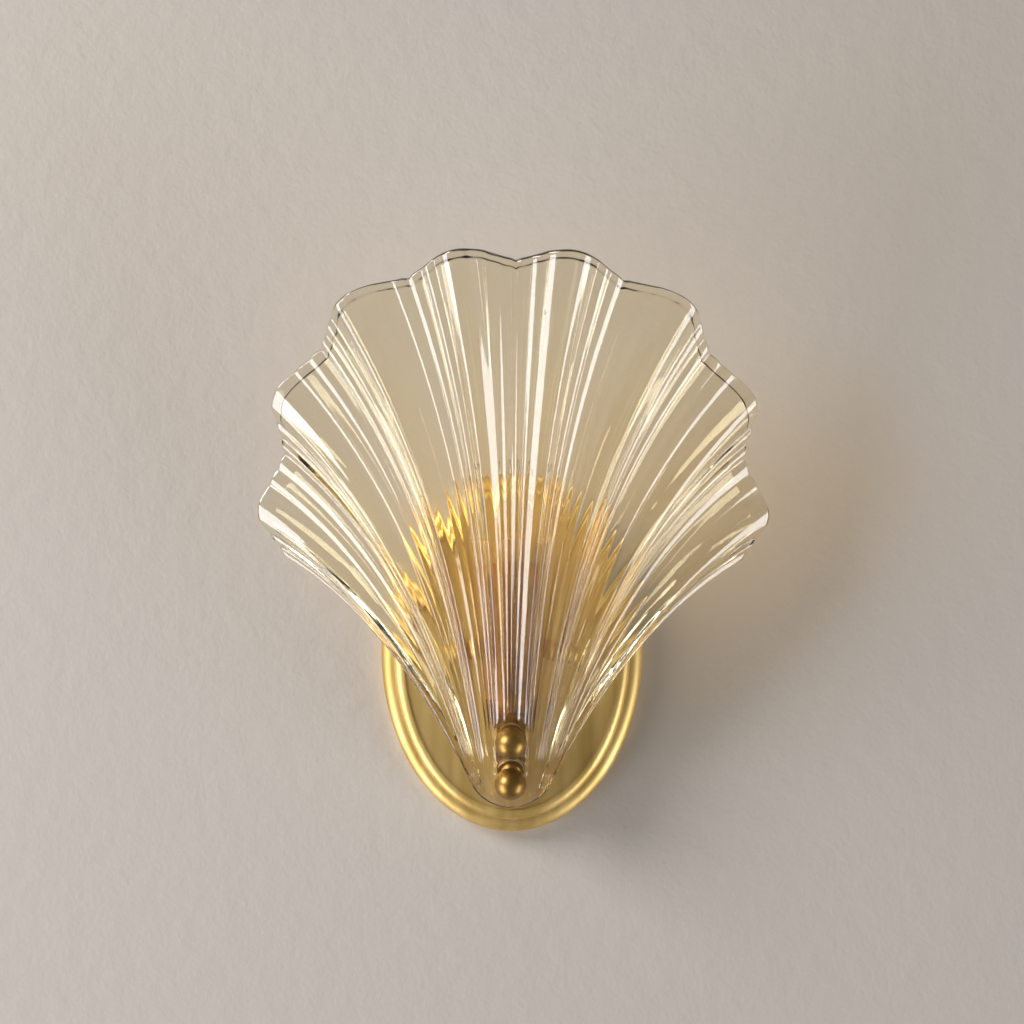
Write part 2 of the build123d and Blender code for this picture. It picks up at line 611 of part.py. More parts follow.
def stem_nuts():
    """One nut holds the sleeve's cap down, two clamp the bridge."""
    above_cap = LAMP_SEAT_HEIGHT + SLEEVE_CAP_THICKNESS + SLEEVE_CAP_SPIGOT
    under_bridge = BRIDGE_HEIGHT - STEM_NUT_HEIGHT
    above_bridge = BRIDGE_HEIGHT + BRIDGE_SHEET
    return [stem_nut(above_cap), stem_nut(under_bridge), stem_nut(above_bridge)]


def holder_screw_depths():
    """Depths of the two screws through the holder."""
    return [LAMP_DEPTH + side * HOLDER_SCREW_SPACING / 2 for side in (-1, 1)]


def holder_bridge():
    """Steel strap bent to a U: a round base on the stem, and a foot at each end under the holder."""
    sheet = BRIDGE_SHEET
    near, far = LAMP_DEPTH - BRIDGE_HALF_SPAN, LAMP_DEPTH + BRIDGE_HALF_SPAN
    runs = [
        (near, far, BRIDGE_HEIGHT, BRIDGE_HEIGHT + sheet),
        (near, near + sheet, BRIDGE_HEIGHT, HOLDER_BOTTOM),
        (far - sheet, far, BRIDGE_HEIGHT, HOLDER_BOTTOM),
        (near, near + BRIDGE_FOOT, HOLDER_BOTTOM - sheet, HOLDER_BOTTOM),
        (far - BRIDGE_FOOT, far, HOLDER_BOTTOM - sheet, HOLDER_BOTTOM),
    ]
    bridge = rod_up(BRIDGE_BASE_RADIUS, BRIDGE_HEIGHT, BRIDGE_HEIGHT + sheet, depth=LAMP_DEPTH)
    for depth_low, depth_high, low, high in runs:
        bridge += block(BRIDGE_WIDTH, depth_low, depth_high, low, high)
    bridge &= rod_up(SLEEVE_RADIUS - SLEEVE_WALL - LOOSE, BRIDGE_HEIGHT, HOLDER_BOTTOM, depth=LAMP_DEPTH)
    bridge -= rod_up(STEM_RADIUS + SLIP, BRIDGE_HEIGHT, BRIDGE_HEIGHT + sheet, depth=LAMP_DEPTH)
    for depth in holder_screw_depths():
        bridge -= rod_up(HOLDER_SCREW_RADIUS + SLIP, HOLDER_BOTTOM - sheet, HOLDER_BOTTOM, depth=depth)
    return bridge


def lampholder():
    """Moulded two-pin holder: a slot for the lamp's pinch over two wells for its pins."""
    body = rod_up(HOLDER_RADIUS, HOLDER_BOTTOM, HOLDER_TOP, depth=LAMP_DEPTH)
    body = fillet(body.edges().group_by(Axis.Z)[-1], HOLDER_EDGE_RADIUS)
    half = HOLDER_SLOT_BREADTH / 2
    body -= block(HOLDER_SLOT_WIDTH, LAMP_DEPTH - half, LAMP_DEPTH + half, HOLDER_SLOT_FLOOR, HOLDER_TOP)
    for side in (-1, 1):
        x = side * PIN_SPACING / 2
        body -= rod_up(HOLDER_WELL_RADIUS, HOLDER_BOTTOM, HOLDER_SLOT_FLOOR, x=x, depth=LAMP_DEPTH)
    for depth in holder_screw_depths():
        body -= rod_up(HOLDER_SCREW_RADIUS + SLIP, HOLDER_BOTTOM, HOLDER_TOP, depth=depth)
        body -= rod_up(HOLDER_SCREW_HEAD_RADIUS + SLIP, HOLDER_HEAD_FLOOR, HOLDER_TOP, depth=depth)
    return body


def holder_screw(depth):
    """Long screw from the holder's top down to the bridge's foot."""
    head_top = HOLDER_HEAD_FLOOR + HOLDER_SCREW_HEAD_HEIGHT
    screw = rod_up(HOLDER_SCREW_RADIUS, HOLDER_BOTTOM - 2 * BRIDGE_SHEET, HOLDER_HEAD_FLOOR, depth=depth)
    return screw + rod_up(HOLDER_SCREW_HEAD_RADIUS, HOLDER_HEAD_FLOOR, head_top, depth=depth)


def contact_clip(side):
    """Spring contact round one of the lamp's pins; the lead is crimped under it."""
    x = side * PIN_SPACING / 2
    clip = rod_up(CLIP_RADIUS, CLIP_BOTTOM, CLIP_TOP, x=x, depth=LAMP_DEPTH)
    return clip - rod_up(PIN_RADIUS + SLIP, CLIP_BOTTOM, CLIP_TOP, x=x, depth=LAMP_DEPTH)


# ---------------------------------------------------------------- lamp
PINCH_WIDTH, PINCH_BREADTH, PINCH_HEIGHT = PINCH
PINCH_BOTTOM = HOLDER_SLOT_FLOOR + PINCH_LIFT
PINCH_TOP = PINCH_BOTTOM + PINCH_HEIGHT
PIN_TOP = PINCH_BOTTOM + PIN_IN_GLASS
CAPSULE_CENTRE = PINCH_TOP + CAPSULE_LENGTH - CAPSULE_RADIUS


def capsule(radius):
    """A round-ended upright bar above the pinch."""
    bottom = PINCH_TOP + CAPSULE_RADIUS - radius
    body = rod_up(radius, bottom, CAPSULE_CENTRE, depth=LAMP_DEPTH)
    return body + Pos(0, -LAMP_DEPTH, CAPSULE_CENTRE) * Sphere(radius)


def lamp_glass():
    """Clear capsule with a flat pinch that grips the pins and the filament's legs."""
    half = PINCH_BREADTH / 2
    floor = PINCH_TOP + CAPSULE_WALL
    glass = block(PINCH_WIDTH, LAMP_DEPTH - half, LAMP_DEPTH + half, PINCH_BOTTOM, floor)
    glass += capsule(CAPSULE_RADIUS)
    glass -= capsule(CAPSULE_RADIUS - CAPSULE_WALL)
    for side in (-1, 1):
        pin_x, leg_x = side * PIN_SPACING / 2, side * FILAMENT_HALF_WIDTH
        glass -= rod_up(PIN_RADIUS + SLIP, PINCH_BOTTOM, PIN_TOP, x=pin_x, depth=LAMP_DEPTH)
        glass -= rod_up(FILAMENT_RADIUS + SLIP, PIN_TOP, floor, x=leg_x, depth=LAMP_DEPTH)
    return glass


def lamp_pin(side):
    """One round-ended pin of the lamp."""
    x = side * PIN_SPACING / 2
    bottom = PINCH_BOTTOM - PIN_LENGTH
    pin = rod_up(PIN_RADIUS, bottom + PIN_RADIUS, PIN_TOP, x=x, depth=LAMP_DEPTH)
    return pin + Pos(x, -LAMP_DEPTH, bottom + PIN_RADIUS) * Sphere(PIN_RADIUS)


def filament():
    """Filament bent to an arch, with both legs in the pinch."""
    foot, top, width = PIN_TOP, PINCH_TOP + FILAMENT_HEIGHT, FILAMENT_HALF_WIDTH
    points = [spot(x, LAMP_DEPTH, z) for x, z in ((-width, foot), (-width, top), (width, top), (width, foot))]
    return swept_wire(points, FILAMENT_RADIUS, FILAMENT_BEND_RADIUS)


# ---------------------------------------------------------------- leads and terminal block
def lead(side):
    """Insulated lead: terminal block, tail, elbow, stem, then out to its contact in the holder."""
    terminal_x = side * TERMINAL_HALF_SPACING
    near = side * LEAD_HALF_SPACING
    wide = side * PIN_SPACING / 2
    points = [
        spot(terminal_x, LEAD_RUN_DEPTH, TERMINAL_TOP - LEAD_ENTRY),
        spot(terminal_x, LEAD_RUN_DEPTH, TERMINAL_TOP + LEAD_ENTRY),
        spot(near, LEAD_RUN_DEPTH, ARM_HEIGHT),
        spot(near, LAMP_DEPTH, ARM_HEIGHT),
        spot(near, LAMP_DEPTH, STEM_TOP + LEAD_ENTRY),
        spot(wide, LAMP_DEPTH, HOLDER_BOTTOM - LEAD_ENTRY),
        spot(wide, LAMP_DEPTH, CLIP_BOTTOM),
    ]
    gentle = LEAD_GENTLE_RADIUS
    return swept_wire(points, LEAD_RADIUS, [gentle, LEAD_BEND_RADIUS, LEAD_BEND_RADIUS, gentle, gentle])


def terminal_block():
    """Two-way terminal block that hangs on the leads it takes from above."""
    bottom = TERMINAL_TOP - TERMINAL_HEIGHT
    screw_floor = TERMINAL_DEPTH - TERMINAL_SCREW_HEAD
    body = block(TERMINAL_WIDTH, 0, TERMINAL_DEPTH, bottom, TERMINAL_TOP)
    for side in (-1, 1):
        x = side * TERMINAL_HALF_SPACING
        entry_floor = TERMINAL_TOP - LEAD_ENTRY
        body -= rod_up(LEAD_RADIUS + LOOSE, entry_floor, TERMINAL_TOP, x=x, depth=LEAD_RUN_DEPTH)
        screw_z = bottom + TERMINAL_SCREW_RISE
        body -= rod_out(TERMINAL_SCREW_RADIUS + SLIP, screw_floor, TERMINAL_DEPTH, x=x, z=screw_z)
    return body


def terminal_screw(side):
    """Slotted clamping screw in the terminal block."""
    x = side * TERMINAL_HALF_SPACING
    z = TERMINAL_TOP - TERMINAL_HEIGHT + TERMINAL_SCREW_RISE
    screw = rod_out(TERMINAL_SCREW_RADIUS, TERMINAL_DEPTH - TERMINAL_SCREW_HEAD, TERMINAL_DEPTH, x=x, z=z)
    return screw - driver_slot(TERMINAL_SCREW_RADIUS, TERMINAL_SCREW_HEAD, TERMINAL_DEPTH, x, z)


def pair(make):
    """A left and a right copy in one node."""
    return Compound([make(-1), make(1)])


NODES = {
    "backplate": backplate(),
    "wall_crossbar": crossbar(),
    "crossbar_studs": pair(stud),
    "stud_lock_nuts": pair(stud_nut),
    "backplate_cap_nuts": pair(cap_nut),
    "ground_screw": ground_screw(),
    "support_arm": support_arm(),
    "arm_lock_washer": arm_washer(),
    "arm_nut": arm_nut(),
    "lead_bush": lead_bush(),
    "glass_shade": glass_shade(),
    "rear_gaskets": Compound([rear_gasket(name) for name in SCREW_HEIGHTS]),
    "front_gaskets": Compound([front_gasket(name) for name in SCREW_HEIGHTS]),
    "upper_knob_washer": knob_washer("upper"),
    "lower_knob_washer": knob_washer("lower"),
    "upper_ball_screw": ball_screw("upper"),
    "lower_ball_screw": ball_screw("lower"),
    "sleeve_cap": sleeve_cap(),
    "lamp_sleeve": lamp_sleeve(),
    "lamp_stem": lamp_stem(),
    "stem_nuts": Compound(stem_nuts()),
    "holder_bridge": holder_bridge(),
    "lampholder": lampholder(),
    "holder_screws": Compound([holder_screw(depth) for depth in holder_screw_depths()]),
    "contact_clips": pair(contact_clip),
    "lamp_glass": lamp_glass(),
    "lamp_pins": pair(lamp_pin),
    "lamp_filament": filament(),
    "left_lead": lead(-1),
    "right_lead": lead(1),
    "terminal_block": terminal_block(),
    "terminal_screws": pair(terminal_screw),
}

os.makedirs("parts", exist_ok=True)
for node, solid in NODES.items():
    export_step(solid, f"parts/{node}.step")
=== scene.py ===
from math import atan, ceil, cos, pi, radians, sin

import bpy
import numpy as np
from mathutils import Matrix, Vector


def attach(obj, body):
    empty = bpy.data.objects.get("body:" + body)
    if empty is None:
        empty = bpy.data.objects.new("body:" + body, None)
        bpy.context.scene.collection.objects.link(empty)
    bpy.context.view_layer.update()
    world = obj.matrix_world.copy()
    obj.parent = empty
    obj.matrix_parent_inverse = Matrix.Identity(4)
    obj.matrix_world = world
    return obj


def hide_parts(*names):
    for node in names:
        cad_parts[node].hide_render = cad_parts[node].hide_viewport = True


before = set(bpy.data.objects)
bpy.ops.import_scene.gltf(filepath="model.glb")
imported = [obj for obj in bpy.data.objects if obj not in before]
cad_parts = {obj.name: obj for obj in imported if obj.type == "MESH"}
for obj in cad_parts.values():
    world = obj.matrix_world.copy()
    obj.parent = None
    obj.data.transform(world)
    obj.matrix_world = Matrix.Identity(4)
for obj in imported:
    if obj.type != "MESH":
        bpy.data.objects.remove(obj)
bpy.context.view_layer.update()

# Shell wall sconce: the looks. Sizes are in millimetres, as in the CAD source, and meshes are made
# in metres. The wall is Y = 0, the room is towards -Y, and "depth" is a distance out from the wall.
MM = 0.001

# ---- glass shade: the same sheet as the CAD's, with flutes that grow more evenly along the ribs
GLASS_THICKNESS = 5.0
RIM_CENTRE_HEIGHT = 66.0
RIM_RADIUS = 109.6
RIM_SQUARENESS = 2.3
RIM_SCALLOP = 3.4
FAN_HALF_ANGLE = 103.0
FLUTE_PITCH = 26.0
FLUTE_WAVE = 2.2
FLUTE_CROWN = 2.7
FLUTE_GROWTH = 1.1
TONGUE_RADIUS = 19.7
TONGUE_CENTRE_HEIGHT = -51.5
TONGUE_HALF_ANGLE = 62.0
RIB_START_LEAN = 26.0
RIB_END_LEAN = 66.0
RIB_END_LEAN_RATE = 0.68
RIB_START_REACH = 0.30
RIB_START_REACH_LOSS = 0.185
RIB_END_REACH = 0.43
SHADE_DEPTH_AT_KNEE = 43.4
SHADE_KNEE_HEIGHT = -39.0
SHADE_LEAN = 0.22
SHADE_FLARE_RADIUS = 2174.0
TONGUE_CURL_RADIUS = 35.7
SIDE_WRAP_RADIUS = 200.0
TONGUE_WRAP_RADIUS = 33.8
TONGUE_WRAP_REACH = 30.0

# ---- flutes and ribs: widths are shares of a flute's pitch, and roundings of a flank or a rib
BROAD_HALF_SHARE = 0.215
FLAT_HALF_SHARE = 0.06
FLANK_ROUNDING = 0.22
RIB_CROWN = 1.0
RIBS_PER_HALF_VALLEY = 2
GROOVE_ROUNDING = 0.10
VALLEY_NOTCH = 1.0
VALLEY_NOTCH_WIDTH = 0.035

# ---- back: its ribs are lower than the front's, and so are its flutes, apart from those near the rim
BACK_RIB_SHARE = 0.25
BACK_FLUTE_SHARE = 0.25
BACK_SMOOTH_REACH = 0.25

# ---- streaks: each wave is its count per flute, its drift along a rib, and its start, in turns
STREAK_HEIGHT = 0.36
FRONT_STREAKS = ((2.3, 0.4, 0.1), (3.7, -0.5, 0.6), (6.1, 0.8, 0.3))
BACK_STREAKS = ((2.9, -0.3, 0.8), (4.3, 0.6, 0.2), (6.7, -0.7, 0.5))

# ---- lip: a rounded front edge and a bevelled back; the steps are distances in from the edge
LIP_LENGTH = 4.6
LIP_FRONT_RADIUS = 0.7
LIP_OUTER_DEPTH = 2.3
LIP_INNER_DEPTH = 4.2
LIP_CREASE = 0.08
LIP_STEPS = (0.0, 0.08, 0.25, 0.6, 1.4, 2.4, 3.5, 4.4, 4.7, 5.2)

# ---- the glass's grid, and the rough lengths that turn the lip's steps into shares of it
SEGMENTS_PER_FLUTE = 32
SEGMENTS_PER_RIB = 8
ROWS = 120
RIB_LENGTH = 225.0
HALF_BREADTH = 170.0
LIP_CLEAR_SHARE = 0.002
SHARP_EDGE_ANGLE = 55.0

# ---- ball screws and their lands in the glass
SCREW_HEIGHTS = (-37.4, -53.2)
GLASS_HOLE_RADIUS = 3.2
HOLE_SIDES = 64
HOLE_CUTTER_LENGTH = 30.0
LAND_RADIUS = 6.7
LAND_BLEND_RADIUS = 8.8
FRONT_LAND_DEPTH = 1.4
REAR_LAND_DEPTH = 5.4

# ---- heights between which the glass's shadow grows clearer
SHADOW_FOOT_HEIGHT = -60.0
SHADOW_CLEAR_HEIGHT = 120.0

# ---- light: azimuth and elevation in degrees, distance, width and height in metres, radiance, colour
WHITE_LIGHT = (1.0, 1.0, 1.0)
COOL_LIGHT = (0.95, 0.975, 1.0)
SOFTBOXES = {
    "key_softbox": (-57, 24, 2.2, 1.0, 1.0, 15.6, WHITE_LIGHT),
    "left_softbox": (-67, -30, 2.2, 1.0, 1.5, 6.8, COOL_LIGHT),
    "right_softbox": (68, -30, 2.2, 0.8, 1.5, 6.0, COOL_LIGHT),
    "low_fill": (14, -34, 1.8, 0.3, 0.5, 0.6, COOL_LIGHT),
    "back_softbox": (130, 35, 2.2, 1.2, 1.2, 7.0, WHITE_LIGHT),
}
WORLD_COLOUR = (1.0, 0.985, 0.965)
WORLD_LIGHT = 0.12
WORLD_SEEN = 0.20

# ---- patches of tone: noise between these two values runs from one tone to the other
TONE_START = 0.35
TONE_END = 0.65
TONE_DETAIL = 3.0
METAL_TONE_SCALE = 90.0
DULL_TONE_SCALE = 60.0

# ---- brushing and grain: depths are in metres, and the gloss varies about each roughness
UNBRUSHED = (1, 1, 1)
BRUSHED_UPRIGHT = (1, 1, 0.08)
BRUSH_SCALE = 400.0
BRUSH_DETAIL = 2.0
BRUSH_DEPTH = 0.00003
GRAIN_SCALE = 900.0
GRAIN_DETAIL = 4.0
GRAIN_DEPTH = 0.00004
BUMP_STRENGTH = 0.33
GLOSS_DROP = 0.06
GLOSS_RISE = 0.08

# ---- glass: the lustre is a thin skin, and its roughness is a multiple of the glass's
GLASS_IOR = 1.5
LUSTRE_IOR = 1.8
LUSTRE_SPREAD = 5.0
RIPPLE_DETAIL = 2.0
RIPPLE_STRENGTH = 0.5

# ---- plaster: tones, and its relief as scale, strength and depth in metres, coarse and fine
WALL_TONES = ((0.516, 0.462, 0.416), (0.530, 0.476, 0.429))
WALL_TONE_SCALE = 2.2
WALL_ROUGHNESS = 0.85
WALL_RELIEF = ((95.0, 0.34, 0.0012), (420.0, 0.30, 0.0005))

# ---- camera and wall, from the photograph
CAMERA_DISTANCE = 1500.0
CAMERA_HEIGHT = 63.7
PIXELS_PER_MM = 2.167
IMAGE_PIXELS = 1024
SENSOR_WIDTH = 36.0
CAMERA_ROLL = 0.6
WALL_GAP = 0.4
WALL_HALF_SIZE = 2600.0


# ---------------------------------------------------------------- the shade's form
def centre_depth(z):
    """Depth of the plain front in the plane of symmetry, at a height."""
    above_knee = z - SHADE_KNEE_HEIGHT
    below_knee = np.maximum(0.0, -above_knee)
    flare = np.maximum(0.0, above_knee) ** 2 / (2 * SHADE_FLARE_RADIUS)
    curl = below_knee ** 2 / (2 * TONGUE_CURL_RADIUS)
    return SHADE_DEPTH_AT_KNEE + SHADE_LEAN * above_knee + flare - curl


def centre_slope(z):
    """How fast that depth grows with height."""
    above_knee = z - SHADE_KNEE_HEIGHT
    below_knee = np.maximum(0.0, -above_knee)
    return SHADE_LEAN + np.maximum(0.0, above_knee) / SHADE_FLARE_RADIUS + below_knee / TONGUE_CURL_RADIUS


def tongue_curvature(z):
    """How much more sharply the shade curves round the tongue than at its sides, at a height."""
    return np.exp(-(z - TONGUE_CENTRE_HEIGHT + TONGUE_RADIUS) / TONGUE_WRAP_REACH) / TONGUE_WRAP_RADIUS


def flute_phase(angle):
    """Place across a flute: 0 on its crest, and a half either way in the valleys."""
    turns = angle / FLUTE_PITCH - 0.5
    return turns - np.round(turns)


def broad_crown(phase):
    """A broad flute's section: a flat top that rounds into straight flanks, from 1 down to 0."""
    run = np.clip((phase - FLAT_HALF_SHARE) / (BROAD_HALF_SHARE - FLAT_HALF_SHARE), 0, 1)
    fall = run - FLANK_ROUNDING * (1 - np.exp(-run / FLANK_ROUNDING))
    return 1 - fall / (1 - FLANK_ROUNDING * (1 - np.exp(-1 / FLANK_ROUNDING)))


def flute_height(angle, along, rib_share):
    """Lift of the broad flutes and the narrow ribs; the grooves between ribs are slightly rounded."""
    phase = np.abs(flute_phase(angle))
    wave = FLUTE_WAVE * np.cos(2 * pi * phase)
    crown = FLUTE_CROWN * broad_crown(phase)
    valley_share = np.clip((phase - BROAD_HALF_SHARE) / (0.5 - BROAD_HALF_SHARE), 0, 1)
    hump = np.abs(np.sin(RIBS_PER_HALF_VALLEY * pi * valley_share))
    rounded_hump = np.sqrt(hump ** 2 + GROOVE_ROUNDING ** 2) - GROOVE_ROUNDING
    return along ** FLUTE_GROWTH * (wave + crown + rib_share * RIB_CROWN * rounded_hump)


def streak_height(angle, along, waves):
    """Shallow uneven streaks along the ribs, left by the press: a few waves that sink into the fan."""
    turns = angle / FLUTE_PITCH
    total = 0
    for per_flute, drift, start in waves:
        total = total + np.sin(2 * pi * (per_flute * turns + drift * along + start))
    return along ** FLUTE_GROWTH * STREAK_HEIGHT * (total / len(waves) - 1)


def rim_point(angle):
    """A point of the scalloped rim, seen from the front, at a fan angle."""
    turn = np.radians(angle)
    powers = np.abs(np.cos(turn)) ** RIM_SQUARENESS + np.abs(np.sin(turn)) ** RIM_SQUARENESS
    phase = flute_phase(angle)
    notch = VALLEY_NOTCH * np.exp(-((0.5 - np.abs(phase)) / VALLEY_NOTCH_WIDTH) ** 2)
    radius = RIM_RADIUS * powers ** (-1 / RIM_SQUARENESS) + RIM_SCALLOP * np.cos(2 * pi * phase) - notch
    return radius * np.sin(turn), RIM_CENTRE_HEIGHT + radius * np.cos(turn)


def rib_points(across, along):
    """Places of the grid seen from the front, as x and z arrays."""
    start_angle = np.radians(TONGUE_HALF_ANGLE * across)
    start = (TONGUE_RADIUS * np.sin(start_angle), TONGUE_CENTRE_HEIGHT - TONGUE_RADIUS * np.cos(start_angle))
    end = rim_point(FAN_HALF_ANGLE * across)
    span = np.hypot(end[0] - start[0], end[1] - start[1])
    start_lean = np.radians(RIB_START_LEAN * across)
    end_lean = radians(RIB_END_LEAN) * np.sin(RIB_END_LEAN_RATE * np.radians(FAN_HALF_ANGLE * across))
    start_reach = span * (RIB_START_REACH - RIB_START_REACH_LOSS * across ** 2)
    end_reach = span * RIB_END_REACH
    pull_start = (start[0] + start_reach * np.sin(start_lean), start[1] + start_reach * np.cos(start_lean))
    pull_end = (end[0] - end_reach * np.sin(end_lean), end[1] - end_reach * np.cos(end_lean))
    rest = 1 - along
    shares = (rest ** 3, 3 * along * rest ** 2, 3 * along ** 2 * rest, along ** 3)
    corners = (start, pull_start, pull_end, end)
    return [sum(share * corner[i] for share, corner in zip(shares, corners)) for i in (0, 1)]


def plain_front(across, along):
    """The front without flutes: its points and its unit normals, which point to the room."""
    x, z = rib_points(across, along)
    extra = tongue_curvature(z)
    curvature = 1 / SIDE_WRAP_RADIUS + extra
    points = np.stack([x, curvature * x ** 2 / 2 - centre_depth(z), z], -1)
    lean = -extra / TONGUE_WRAP_REACH * x ** 2 / 2 - centre_slope(z)
    normals = np.stack([curvature * x, -np.ones_like(x), lean], -1)
    normals /= np.linalg.norm(normals, axis=-1, keepdims=True)
    return points, normals


def screw_frame(height):
    """Where a ball screw's axis meets the plain front, and the axis's direction out of it."""
    tilt = atan(float(centre_slope(height)))
    return np.array([0, -float(centre_depth(height)), height]), np.array([0, -cos(tilt), -sin(tilt)])


# ---------------------------------------------------------------- mesh helpers
def new_object(name, points, faces, smooth=True):
    """A mesh object from points in millimetres."""
    mesh = bpy.data.meshes.new(name)
    mesh.from_pydata([tuple(MM * c for c in p) for p in points], [], faces)
    mesh.validate()
    obj = bpy.data.objects.new(name, mesh)
    bpy.context.scene.collection.objects.link(obj)
    for polygon in mesh.polygons:
        polygon.use_smooth = smooth
    return obj


def grid_faces(columns, rows, offset, flip):
    """Quads of a columns by rows grid of points, numbered from offset."""
    faces = []
    for i in range(columns - 1):
        for j in range(rows - 1):
            a = offset + i * rows + j
            quad = (a, a + rows, a + rows + 1, a + 1)
            faces.append(quad[::-1] if flip else quad)
    return faces


def sheet_faces(columns, rows):
    """Faces of a closed sheet: a front grid, a back grid behind it, and a band round their border."""
    behind = columns * rows
    faces = grid_faces(columns, rows, offset=0, flip=False)
    faces += grid_faces(columns, rows, offset=behind, flip=True)
    border = [i * rows for i in range(columns)]
    border += [(columns - 1) * rows + j for j in range(1, rows)]
    border += [i * rows + rows - 1 for i in range(columns - 2, -1, -1)]
    border += list(range(rows - 2, 0, -1))
    for a, b in zip(border, border[1:] + border[:1]):
        faces.append((a, behind + a, behind + b, b))
    return faces


# ---------------------------------------------------------------- glass shade
def fan_columns():
    """Fan angles of the grid's columns, with one on every crest and in every groove."""
    rib_width = (0.5 - BROAD_HALF_SHARE) / RIBS_PER_HALF_VALLEY
    phases = list(np.linspace(-BROAD_HALF_SHARE, BROAD_HALF_SHARE, SEGMENTS_PER_FLUTE + 1)[:-1])
    for rib in range(2 * RIBS_PER_HALF_VALLEY):
        start = BROAD_HALF_SHARE + rib * rib_width
        phases += list(np.linspace(start, start + rib_width, SEGMENTS_PER_RIB + 1)[:-1])
    each_side = ceil(FAN_HALF_ANGLE / FLUTE_PITCH) + 1
    flutes = range(-each_side, each_side)
    angles = [FLUTE_PITCH * (flute + 0.5 + phase) for flute in flutes for phase in phases]
    return [a for a in angles if abs(a) < FAN_HALF_ANGLE]


def glass_grid():
    """Shares across and along for the grid, closer together at the lips.

    The speed of a cubic curve, such as a rib, is three times its reach at each end.
    """
    rim_step = 1 / (3 * RIB_END_REACH * RIB_LENGTH)
    tongue_step = 1 / (3 * RIB_START_REACH * RIB_LENGTH)
    side_step = 1 / HALF_BREADTH
    rim = [1 - step * rim_step for step in LIP_STEPS]
    tongue = [step * tongue_step for step in LIP_STEPS]
    middle = list(np.linspace(tongue[-1], rim[-1], ROWS)[1:-1])
    along = np.array(tongue + middle + rim[::-1])
    edge = [1 - step * side_step for step in LIP_STEPS]
    shares = [angle / FAN_HALF_ANGLE for angle in fan_columns()]
    inner = [share for share in shares if abs(share) < edge[-1] - LIP_CLEAR_SHARE]
    across = np.array([-e for e in edge] + inner + edge[::-1])
    return across, along


def edge_distance(points):
    """Distance of each grid point from the sheet's edge, up to the lip's length, with round corners."""
    along_steps = np.linalg.norm(np.diff(points, axis=1), axis=-1)
    across_steps = np.linalg.norm(np.diff(points, axis=0), axis=-1)
    from_tongue = np.pad(np.cumsum(along_steps, axis=1), ((0, 0), (1, 0)))
    from_left = np.pad(np.cumsum(across_steps, axis=0), ((1, 0), (0, 0)))
    ends = np.minimum(from_tongue, from_tongue[:, -1:] - from_tongue)
    sides = np.minimum(from_left, from_left[-1:, :] - from_left)
    short = np.hypot(np.clip(LIP_LENGTH - ends, 0, None), np.clip(LIP_LENGTH - sides, 0, None))
    return np.clip(LIP_LENGTH - short, 0, LIP_LENGTH)


def seat_lands(points, land_depth):
    """Presses the flat lands round the two screws into a face."""
    for height in SCREW_HEIGHTS:
        origin, axis = screw_frame(height)
        offset = points - origin
        level = offset @ axis
        radius = np.linalg.norm(offset - level[..., None] * axis, axis=-1)
        share = np.clip((LAND_BLEND_RADIUS - radius) / (LAND_BLEND_RADIUS - LAND_RADIUS), 0, 1)
        eased = share * share * (3 - 2 * share)
        points = points + (eased * (-land_depth - level))[..., None] * axis
    return points


def cut_holes(obj):
    """Cuts the two screw holes out of the glass."""
    for height in SCREW_HEIGHTS:
        origin, axis = screw_frame(height)
        bpy.ops.mesh.primitive_cylinder_add(
            vertices=HOLE_SIDES, radius=GLASS_HOLE_RADIUS * MM, depth=HOLE_CUTTER_LENGTH * MM
        )
        cutter = bpy.context.object
        cutter.rotation_euler = Vector(axis).to_track_quat("Z", "Y").to_euler()
        cutter.location = Vector(origin) * MM
        modifier = obj.modifiers.new("hole", "BOOLEAN")
        modifier.operation = "DIFFERENCE"
        modifier.solver = "MANIFOLD"
        modifier.object = cutter
        bpy.context.view_layer.update()
        depsgraph = bpy.context.evaluated_depsgraph_get()
        mesh = bpy.data.meshes.new_from_object(obj.evaluated_get(depsgraph))
        obj.modifiers.clear()
        obj.data = mesh
        bpy.data.objects.remove(cutter)


def front_height(angle, along, distance):
    """Height of the front over the plain front, rounded down at the edge."""
    lip = np.clip(1 - distance / LIP_FRONT_RADIUS, 0, 1)
    drop = LIP_FRONT_RADIUS * (1 - np.sqrt(1 - lip ** 2))
    return flute_height(angle, along, rib_share=1.0) + streak_height(angle, along, FRONT_STREAKS) - drop


def back_height(angle, along, distance):
    """Height of the back over the plain front: below it by the glass's thickness, or less at the lip."""
    flute_share = 1 - (1 - BACK_FLUTE_SHARE) * np.minimum(1.0, (1 - along) / BACK_SMOOTH_REACH)
    flutes = flute_share * flute_height(angle, along, rib_share=BACK_RIB_SHARE)
    bevel = LIP_OUTER_DEPTH + (LIP_INNER_DEPTH - LIP_OUTER_DEPTH) * distance / LIP_LENGTH
    depth = np.where(distance < LIP_LENGTH - LIP_CREASE, bevel, GLASS_THICKNESS)
    return flutes + streak_height(angle, along, BACK_STREAKS) - depth


